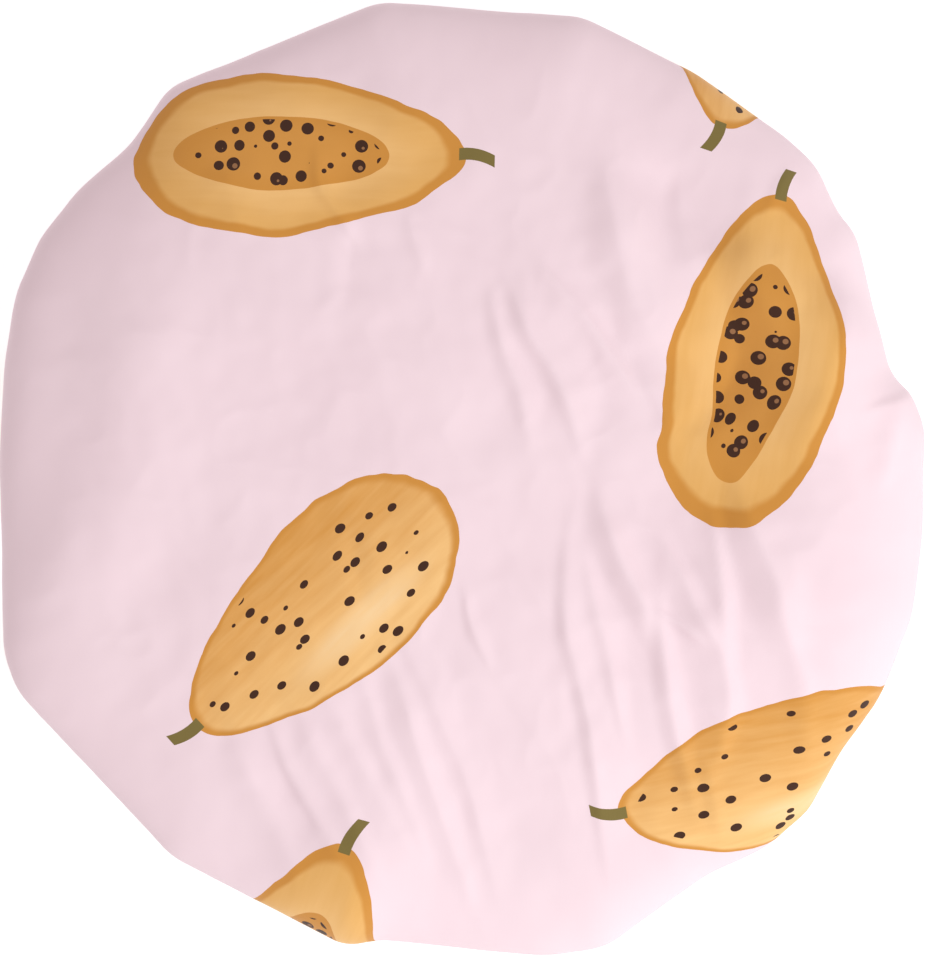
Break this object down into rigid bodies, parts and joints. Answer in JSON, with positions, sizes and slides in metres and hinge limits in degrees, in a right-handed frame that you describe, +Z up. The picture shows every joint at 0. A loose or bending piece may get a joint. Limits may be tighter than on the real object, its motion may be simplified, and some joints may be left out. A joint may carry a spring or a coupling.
{
  "type": "shower cap",
  "caption": "Puffed, lined shower cap lying crown up, its printed outer cloth and waterproof lining gathered into an elastic edge that grips the hair line.",
  "frame": {"origin": "middle of the cap's outline, on the surface that the cap lies on", "axes": "+Z up through the crown, +Y towards the top of the picture, +X towards its right"},
  "size_m": [0.2863, 0.2936, 0.0538],
  "materials": {
    "printed_cloth": "pale pink woven cloth with a tossed golden fruit print",
    "lining_film": "soft waterproof film",
    "casing_cloth": "plain pale pink woven strip",
    "elastic_knit": "knitted elastic",
    "sewing_thread": "twisted polyester thread"
  },
  "bodies": {
    "root": {"outer_shell": "printed_cloth", "waterproof_lining": "lining_film", "edge_casing": "casing_cloth", "elastic_band": "elastic_knit", "elastic_tack": "sewing_thread", "seam_needle_thread": "sewing_thread", "seam_bobbin_thread": "sewing_thread"}
  },
  "joints": []
}
